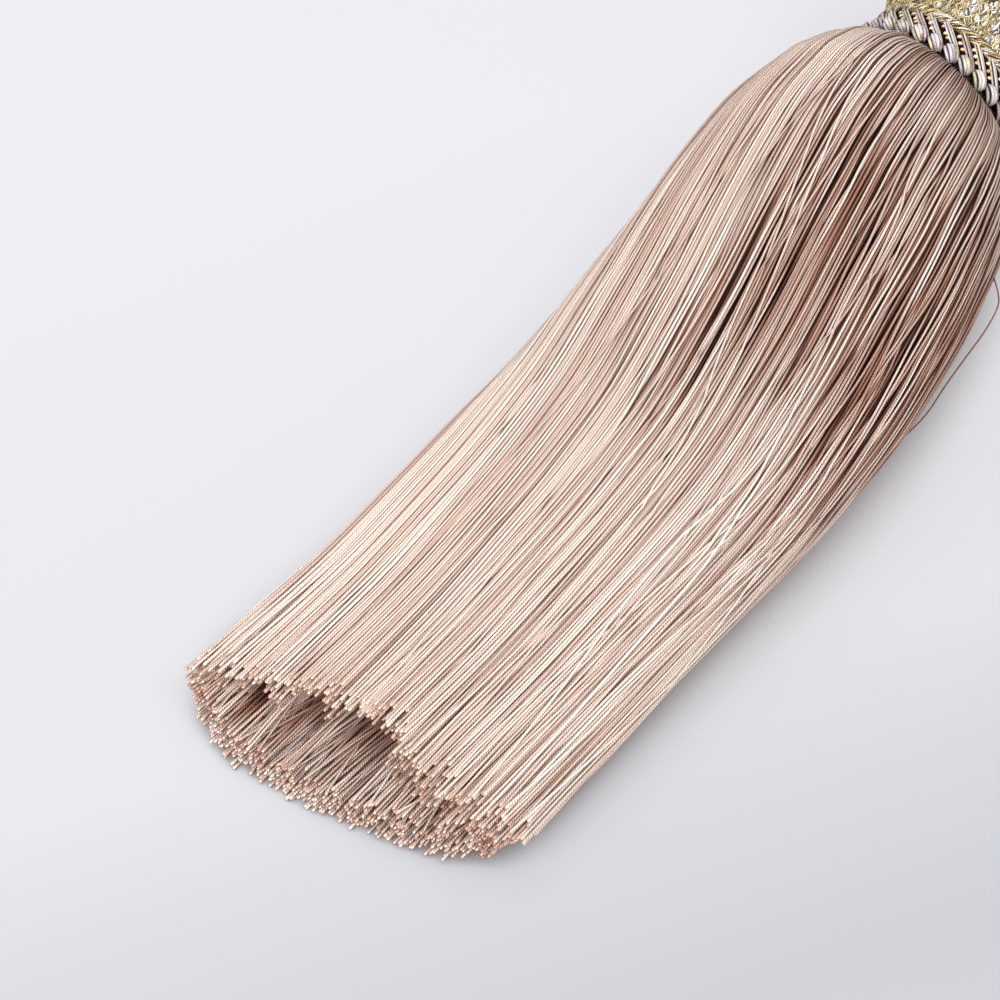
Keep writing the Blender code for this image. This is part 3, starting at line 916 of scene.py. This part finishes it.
CORD_TONES = [0.5, 0.97, 0.85, 0.62]
BUNDLE_SWAY, SWAY_ALONG, SWAY_OUT = 0.17, 0.6, 0.5
BUNDLE_CROWN, CORD_TONE_SPREAD, CORD_FLECKS, CORD_SHADE = 0.3, 0.06, 0.08, 0.28
# The core under the bundles is a near-black sheet that stands in for the shade in the gaps between
# them: painted shade.
CORE_SHADE_DARK, CORE_SHADE_LIGHT = (0.008, 0.003, 0.0025), (0.02, 0.008, 0.006)
CORE_PROFILE = [
    (0.9, 22.5), (0.9, 23.7), (2.5, 24.1), (7.6, 24.1), (8.0, 24.8), (9.6, 24.8), (10.0, 22.8),
]


def bundle_lines(rows, cords, rng):
    """The cords of every bundle of one kind: their middle lines, their radii and their tones."""
    table = np.array(rows)
    places = np.linspace(0, len(table) - 1, BUNDLE_RINGS)[None, :]
    along, turned, radius, width, cord = along_line(table[None], places)[0].T
    arc = turned * 2 * math.pi / BUNDLES * COLLAR_RADIUS
    d_arc, d_along = np.gradient(arc), np.gradient(along)
    far = np.hypot(d_arc, d_along)
    lines, radii, tones = [], [], []
    for bundle in range(BUNDLES):
        first = TURN * bundle / BUNDLES
        sway = rng.normal(0, BUNDLE_SWAY, 3)
        for number in range(cords):
            place = number / (cords - 1) - 0.5
            off = place * (width - 2 * cord)
            turn = first + (arc - off * d_along / far + sway[0]) / COLLAR_RADIUS
            crown = radius - BUNDLE_CROWN * width * (2 * place) ** 2 + SWAY_OUT * sway[2]
            lines.append(on_head(along + off * d_arc / far + SWAY_ALONG * sway[1], crown, turn))
            radii.append(cord)
            tone = CORD_TONES[(number + bundle) % len(CORD_TONES)]
            tones.append(tone + rng.normal(0, CORD_TONE_SPREAD))
    return np.array(lines), np.array(radii), np.array(tones)


def build_collar():
    rng = np.random.default_rng(LOCK_SEED + 1)
    finish = twisted_finish(
        "gimp_braid", GIMP_STOPS, TIP_COLOUR, Twist(2, 1.2, 0.3, 0.5), (0.12, 0.05, 0.04), 0.36,
        metallic=0.1,
    )
    kinds = (
        ("collar_cords", UPPER_BUNDLE, 3, ["collar_braid"]),
        ("collar_beads", BEAD_BUNDLE, 4, []),
    )
    for name, rows, cords, nodes in kinds:
        lines, radii, tones = bundle_lines(rows, cords, rng)
        out = lines - on_head(3.5, 0.0, 0.0)
        flecks = own_noise(rng, len(lines), np.linspace(0, 1, BUNDLE_RINGS), 6)
        tones = tones[:, None] + CORD_FLECKS * flecks
        shades = 1 - CORD_SHADE * rng.uniform(0, 1, (len(lines), 1)) * (1 + flecks)
        tints = tinted(tones, shades, BUNDLE_RINGS)
        lengths = running_length(lines) + rng.uniform(0, LAY_START_MOST, (len(lines), 1))
        tubes(name, "gimp_braid", lines, radii, out, 6, tints, finish, lengths, *nodes)

    # Painted shade: the near-black core fills the gaps between the bundles.
    dark = grained_finish("collar_core_shade", CORE_SHADE_DARK, CORE_SHADE_LIGHT, 900.0, 0.9, specular=0.05)
    shown_on(lathe("collar_core_shade", CORE_PROFILE, 128, dark), "gimp_braid")
    build_slot_rolls(rng, finish)


# The lumps of twisted thread that show in the slots between the bundles: how far along each one is,
# how far round (in bundles), and its radius.
SlotRoll = namedtuple("SlotRoll", "along round radius")
SLOT_ROLLS = [
    SlotRoll(5.8, -1.14, 0.50),
    SlotRoll(4.7, -0.84, 0.55),
    SlotRoll(3.6, -0.55, 0.52),
]
ROLL_REACH, ROLL_RINGS = 0.62, 7
ROLL_LEAN = math.radians(40.0)
ROLL_OUT, ROLL_CROWN, ROLL_NARROWS = 24.75, 0.2, 0.9
ROLL_ROUND_SPREAD, ROLL_OUT_SPREAD, ROLL_ALONG_SPREAD = 0.025, 0.06, 0.12
ROLL_TONE, ROLL_TONE_SPREAD = 0.26, 0.08


def build_slot_rolls(rng, finish):
    lines, radii, tones = [], [], []
    reach = np.linspace(-ROLL_REACH, ROLL_REACH, ROLL_RINGS)
    squared = (reach / ROLL_REACH) ** 2
    for bundle in range(BUNDLES):
        for roll in SLOT_ROLLS:
            turned = bundle + roll.round + rng.normal(0, ROLL_ROUND_SPREAD)
            angle = TURN / BUNDLES * turned + reach * math.cos(ROLL_LEAN) / COLLAR_RADIUS
            bulge = ROLL_OUT - ROLL_CROWN * squared + rng.normal(0, ROLL_OUT_SPREAD)
            along = roll.along + rng.normal(0, ROLL_ALONG_SPREAD) + reach * math.sin(ROLL_LEAN)
            lines.append(on_head(along, bulge, angle))
            radii.append(roll.radius * np.sqrt(1 - ROLL_NARROWS * squared))
            tones.append(ROLL_TONE + rng.normal(0, ROLL_TONE_SPREAD))
    lines, tones = np.array(lines), np.array(tones)[:, None]
    tints = tinted(tones, 1.0, ROLL_RINGS)
    out = lines - on_head(4.4, 0.0, 0.0)
    radii, lengths = np.array(radii), running_length(lines)
    tubes("collar_slot_rolls", "gimp_braid", lines, radii, out, 6, tints, finish, lengths)


# The collar's upper edge is a low roll that is wound with fine threads.
WOUND_ALONG, WOUND_OUT, WOUND_THICK = 8.3, 24.35, 1.25
WOUND_THREADS, WOUND_RADIUS, WOUND_TURNS = 34, 0.14, 13
WOUND_RINGS, WOUND_CELLS = 241, 110
WOUND_TONES = [0.3, 0.95, 0.05, 0.7, 0.2, 1.0, 0.5]
WOBBLE_ROUND, WOBBLE_OUT = 0.15, 0.12


def build_wound_edge(rng, finish):
    around = np.linspace(0, TURN, WOUND_RINGS)
    starts = evenly(WOUND_THREADS)
    wobble = own_noise(rng, WOUND_THREADS, around / (TURN), WOUND_CELLS)
    minor = starts[:, None] + WOUND_TURNS * around + WOBBLE_ROUND * wobble
    along = WOUND_ALONG + WOUND_THICK * np.sin(minor)
    radius = WOUND_OUT + WOUND_THICK * np.cos(minor) + WOBBLE_OUT * wobble
    lines = on_head(along, radius, around)
    out = lines - on_head(WOUND_ALONG, WOUND_OUT, around)[None]
    tones = np.array(WOUND_TONES)[np.arange(WOUND_THREADS) % len(WOUND_TONES)][:, None]
    flecks = own_noise(rng, WOUND_THREADS, around / (TURN), WOUND_CELLS)
    tints = tinted(tones + 0.55 * flecks, 0.75 + 0.5 * flecks, WOUND_RINGS)
    thick = np.full((WOUND_THREADS, WOUND_RINGS), WOUND_RADIUS)
    lengths = running_length(lines)
    tubes("collar_wound_edge", "metallic_net", lines, thick, out, 4, tints, finish, lengths)


# The head's outer face, which is its net's: how far along the head's axis, and the radius there.
HEAD_PROFILE = [
    (8.4, 25.2), (12.0, 26.3), (16.5, 28.7), (22.0, 32.5), (27.0, 35.4), (33.0, 36.3),
    (39.0, 35.3), (45.5, 32.0), (52.0, 26.8), (58.5, 20.0), (63.0, 11.8),
]
RIM_PROFILE = [(64.6, 10.4), (65.7, 9.2), (65.8, 6.6), (65.0, 5.5)]
BORE_PROFILE = [(62.5, 5.35), (56.0, 5.35), (50.2, 5.35)]
BORE_STARTS, BORE_WITHIN = 65.0, 6.0
YARNS, YARN_DEPTH, YARN_RINGS = 176, 1.4, 42
YARN_OVERLAP, YARN_LEAST, YARN_MOST, YARN_RAISED = 1.05, 0.1, 0.66, 0.5
YARN_TONES, YARN_SHADES = (0.3, 1.0), (0.75, 1.0)
LAY_START_MOST = 9
CURVE_STEPS = 400

# The net is two meshes of wavy threads, each thread's waves touching its neighbours': the piece's
# name, how many threads, how deep it lies, the threads' radius, the length of a wave, how uneven
# the waves are, and the rings of each thread's tube.
NetMesh = namedtuple("NetMesh", "name threads depth radius wave uneven rings")
NET_MESHES = [
    NetMesh("net_threads_fine", 132, 0.72, 0.25, 4.1, 2.6, 112),
    NetMesh("net_threads", 134, 0.42, 0.25, 3.1, 2.4, 162),
]
MESH_OPEN = 1.05
KNOT_SWELL = 0.35
MESH_UNEVEN_CELLS, MESH_OWN_UNEVEN, MESH_OWN_CELLS = (34, 12), 0.5, 12
MESH_LIFT, MESH_LIFT_CELLS = 0.15, 14
MESH_NARROWS_BELOW, MESH_NARROWEST = 24.0, 0.5
NET_TIP = (0.4, 0.3, 0.1)
NET_TONES = [0.5, 0.10, 0.9, 0.35, 0.05, 0.62, 0.28]
YARN_STOPS = [(0.0, (0.74, 0.69, 0.73)), (0.5, (0.89, 0.86, 0.90)), (1.0, (0.96, 0.94, 0.97))]
NET_STOPS = [
    (0.0, (0.07, 0.06, 0.03)),
    (0.2, (0.36, 0.36, 0.12)),
    (0.5, (0.90, 0.70, 0.28)),
    (0.75, (0.90, 0.84, 0.50)),
    (1.0, (0.93, 0.91, 0.94)),
]


def inset_profile(table, depth):
    """The profile's points moved in by a depth, square to itself."""
    points = np.array(table)
    run = np.gradient(points, axis=0)
    run /= np.linalg.norm(run, axis=1, keepdims=True)
    return points + np.stack([run[:, 1], -run[:, 0]], 1) * depth


def smooth_curve(points, rings):
    """A curve through the points, with evenly spaced rings."""
    dense = along_line(points[None], np.linspace(0, len(points) - 1, CURVE_STEPS)[None, :])
    reached = running_length(dense)[0]
    at = np.linspace(0, reached[-1], rings)
    return np.stack([np.interp(at, reached, column) for column in dense[0].T], 1)


def on_head_lines(curve, angles):
    """Lines straight up the head by the curve's points, and which way is out along them."""
    lines = on_head(curve[None, :, 0], curve[None, :, 1], angles[:, None])
    return lines, lines - on_head(curve[:, 0], 0.0, 0.0)[None]


def build_head():
    rng = np.random.default_rng(LOCK_SEED + 2)
    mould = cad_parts["head_mould"]
    pale = grained_finish("head_mould_pale", (0.55, 0.50, 0.50), (0.66, 0.62, 0.62), 700.0, 0.6)
    mould.data.materials.clear()
    mould.data.materials.append(pale)

    yarn = twisted_finish(
        "head_yarn", YARN_STOPS, TIP_COLOUR, Twist(2, 2.0, 0.12, 0.3), (0.60, 0.54, 0.56), 0.38,
    )
    outline = [inset_profile(HEAD_PROFILE, YARN_DEPTH), RIM_PROFILE, BORE_PROFILE]
    curve = smooth_curve(np.concatenate(outline), YARN_RINGS)
    lines, out = on_head_lines(curve, evenly(YARNS))
    in_bore = (curve[:, 0] < BORE_STARTS) & (curve[:, 1] < BORE_WITHIN)
    out[:, in_bore] *= -1
    thick = np.clip(math.pi * curve[:, 1] / YARNS * YARN_OVERLAP, YARN_LEAST, YARN_MOST)
    thick = thick * np.ones((YARNS, 1))
    lines[..., 2] = np.maximum(lines[..., 2], thick + YARN_RAISED)
    tones, shades = rng.uniform(*YARN_TONES, (YARNS, 1)), rng.uniform(*YARN_SHADES, (YARNS, 1))
    tints = tinted(tones, shades, YARN_RINGS)
    lengths = running_length(lines) + rng.uniform(0, LAY_START_MOST, (YARNS, 1))
    tubes("head_yarns", "head_yarn", lines, thick, out, 5, tints, yarn, lengths)

    metal = twisted_finish(
        "metallic_net", NET_STOPS, NET_TIP, Twist(2, 1.1, 0.3, 0.5), (0.62, 0.56, 0.42), 0.32,
        metallic=0.45, specular=0.8,
    )
    for mesh in NET_MESHES:
        build_net(mesh, rng, metal)
    build_wound_edge(rng, metal)


def build_net(mesh, rng, finish):
    count = mesh.threads
    curve = smooth_curve(inset_profile(HEAD_PROFILE, mesh.depth), mesh.rings)
    starts = evenly(count)
    _, out = on_head_lines(curve, starts)
    reached = running_length(curve[None])[0]
    share = reached / reached[-1]
    uneven = lattice_noise(rng, starts[:, None] / 2 / math.pi, share, *MESH_UNEVEN_CELLS)
    phase = TURN * reached / mesh.wave + mesh.uneven * uneven
    wave = np.sin(phase) * (-1.0) ** np.arange(count)[:, None]
    own = MESH_OWN_UNEVEN * mesh.uneven * own_noise(rng, count, share, MESH_OWN_CELLS)
    angles = starts[:, None] + math.pi / count * (MESH_OPEN * wave + own)
    lift = MESH_LIFT * own_noise(rng, count, share, MESH_LIFT_CELLS)
    lines = on_head(curve[None, :, 0], curve[None, :, 1] + lift, angles)
    narrowed = np.clip(curve[:, 1] / MESH_NARROWS_BELOW, MESH_NARROWEST, 1.0)
    thick = mesh.radius * (1 + KNOT_SWELL * wave**6) * narrowed
    tones = np.array(NET_TONES)[np.arange(count) % len(NET_TONES)] + rng.normal(0, 0.08, count)
    tones = tones[:, None] + 0.3 * own_noise(rng, count, share, 26)
    shades = 0.85 + 0.25 * own_noise(rng, count, share, 20)
    tints = tinted(tones, shades, mesh.rings)
    lengths = running_length(lines) + rng.uniform(0, LAY_START_MOST, (count, 1))
    nodes = ["net_cover"] if mesh is NET_MESHES[0] else []
    tubes(mesh.name, "metallic_net", lines, thick, out, 3, tints, finish, lengths, *nodes)


# The floor glows: its emission is painted light, mostly brighter up the picture to stand in for the
# lamps' falloff and to keep the shadows on it pale, and darkened near the tassel by a painted
# contact shadow. Its glow goes by how far up the picture a place is from the tassel's middle, in
# metres.
FLOOR_UP = (0.564, 0.826, 0.0)
FLOOR_NEAR, FLOOR_FAR = -0.308, 0.142
FLOOR_GLOW = [
    (0.0, (0.51, 0.515, 0.537)),
    (0.333, (0.39, 0.405, 0.432)),
    (0.447, (0.485, 0.49, 0.512)),
    (0.533, (0.575, 0.578, 0.597)),
    (0.933, (0.645, 0.647, 0.675)),
]
FLOOR_COLOUR = (0.12, 0.119, 0.125)
FLOOR_PAINTED_SHADOW_REACH = 0.024
FLOOR_PAINTED_SHADOW = [(0.12, (0.10, 0.045, 0.03)), (0.28, (0.25, 0.21, 0.20)), (0.68, WHITE)]
FLOOR_SIZE = 6.0


def build_stage():
    bpy.ops.mesh.primitive_plane_add(size=FLOOR_SIZE, location=(0, 0, 0))
    floor = bpy.context.object
    floor.name = "floor"
    nodes = Nodes("floor_white")
    place = nodes.add("ShaderNodeTexCoord").outputs["Object"]
    along = nodes.add("ShaderNodeVectorMath", operation="DOT_PRODUCT")
    nodes.put(along.inputs[0], place)
    nodes.put(along.inputs[1], FLOOR_UP)
    span = FLOOR_FAR - FLOOR_NEAR
    share = nodes.math("MULTIPLY_ADD", along.outputs["Value"], 1 / span, -FLOOR_NEAR / span)
    # Painted contact shadow: the glow darkens where ambient occlusion finds the tassel close by.
    open_to = nodes.add("ShaderNodeAmbientOcclusion", samples=6)
    nodes.fill(open_to, {"Distance": FLOOR_PAINTED_SHADOW_REACH})
    painted_shadow = nodes.ramp(open_to.outputs["AO"], FLOOR_PAINTED_SHADOW)
    nodes.fill(nodes.shader, {
        "Emission Color": nodes.mix(1.0, nodes.ramp(share, FLOOR_GLOW), painted_shadow, "MULTIPLY"),
        "Emission Strength": 1.0,
        "Base Color": (*FLOOR_COLOUR, 1),
        "Roughness": 0.8,
        "Specular IOR Level": 0.0,
    })
    floor.data.materials.append(nodes.material)


# The lamps are discs: where each one is, what it shines at, its width, power and colour.
Lamp = namedtuple("Lamp", "name place target size energy colour")
WARM = (1.0, 0.985, 0.97)
LAMPS = [
    Lamp("key", (0.42, 0.74, 0.98), (-0.02, 0, 0.02), 1.0, 4.0, WARM),
    Lamp("glint", (0.34, 0.54, 0.80), (-0.02, 0, 0.02), 0.3, 2.1, (1.0, 0.98, 0.96)),
    Lamp("fill", (0.05, -0.62, 0.95), (-0.08, 0, 0.02), 0.6, 5.8, WARM),
    Lamp("front", (-0.98, -0.25, 0.60), (-0.18, 0, 0.01), 0.5, 18.6, WARM),
]
WORLD_COLOUR, WORLD_STRENGTH = (0.97, 0.98, 1.0, 1), 0.58

CAMERA_PLACE = (-658.4, -370.0, 763.5)
CAMERA_RIGHT, CAMERA_FORWARD = (0.6086, -0.7934, 0.0), (0.5124, 0.3931, -0.7635)
LENS, SENSOR_WIDTH = 151.2, 36.0


def build_light():
    world = bpy.data.worlds.new("studio")
    world.use_nodes = True
    background = world.node_tree.nodes["Background"]
    background.inputs["Color"].default_value = WORLD_COLOUR
    background.inputs["Strength"].default_value = WORLD_STRENGTH
    bpy.context.scene.world = world
    for lamp in LAMPS:
        data = bpy.data.lights.new(lamp.name, "AREA")
        data.shape = "DISK"
        data.size, data.energy, data.color = lamp.size, lamp.energy, lamp.colour
        light = placed(lamp.name, data)
        light.location = lamp.place
        aim = Vector(lamp.target) - Vector(lamp.place)
        light.rotation_euler = aim.to_track_quat("-Z", "Y").to_euler()
    bpy.context.scene.view_settings.view_transform = "Standard"


def build_camera():
    data = bpy.data.cameras.new("camera")
    data.lens, data.sensor_width = LENS, SENSOR_WIDTH
    data.clip_start, data.clip_end = 0.01, 20.0
    right, forward = Vector(CAMERA_RIGHT).normalized(), Vector(CAMERA_FORWARD).normalized()
    turn = Matrix((right, right.cross(forward), -forward)).transposed()
    place = Vector((np.array(CAMERA_PLACE) + OFFSET) * MM)
    camera = placed("camera", data)
    camera.matrix_world = Matrix.Translation(place) @ turn.to_4x4()
    bpy.context.scene.camera = camera


THREAD = build_skirt()
build_stray(THREAD)
build_collar()
build_head()
build_stage()
build_light()
build_camera()
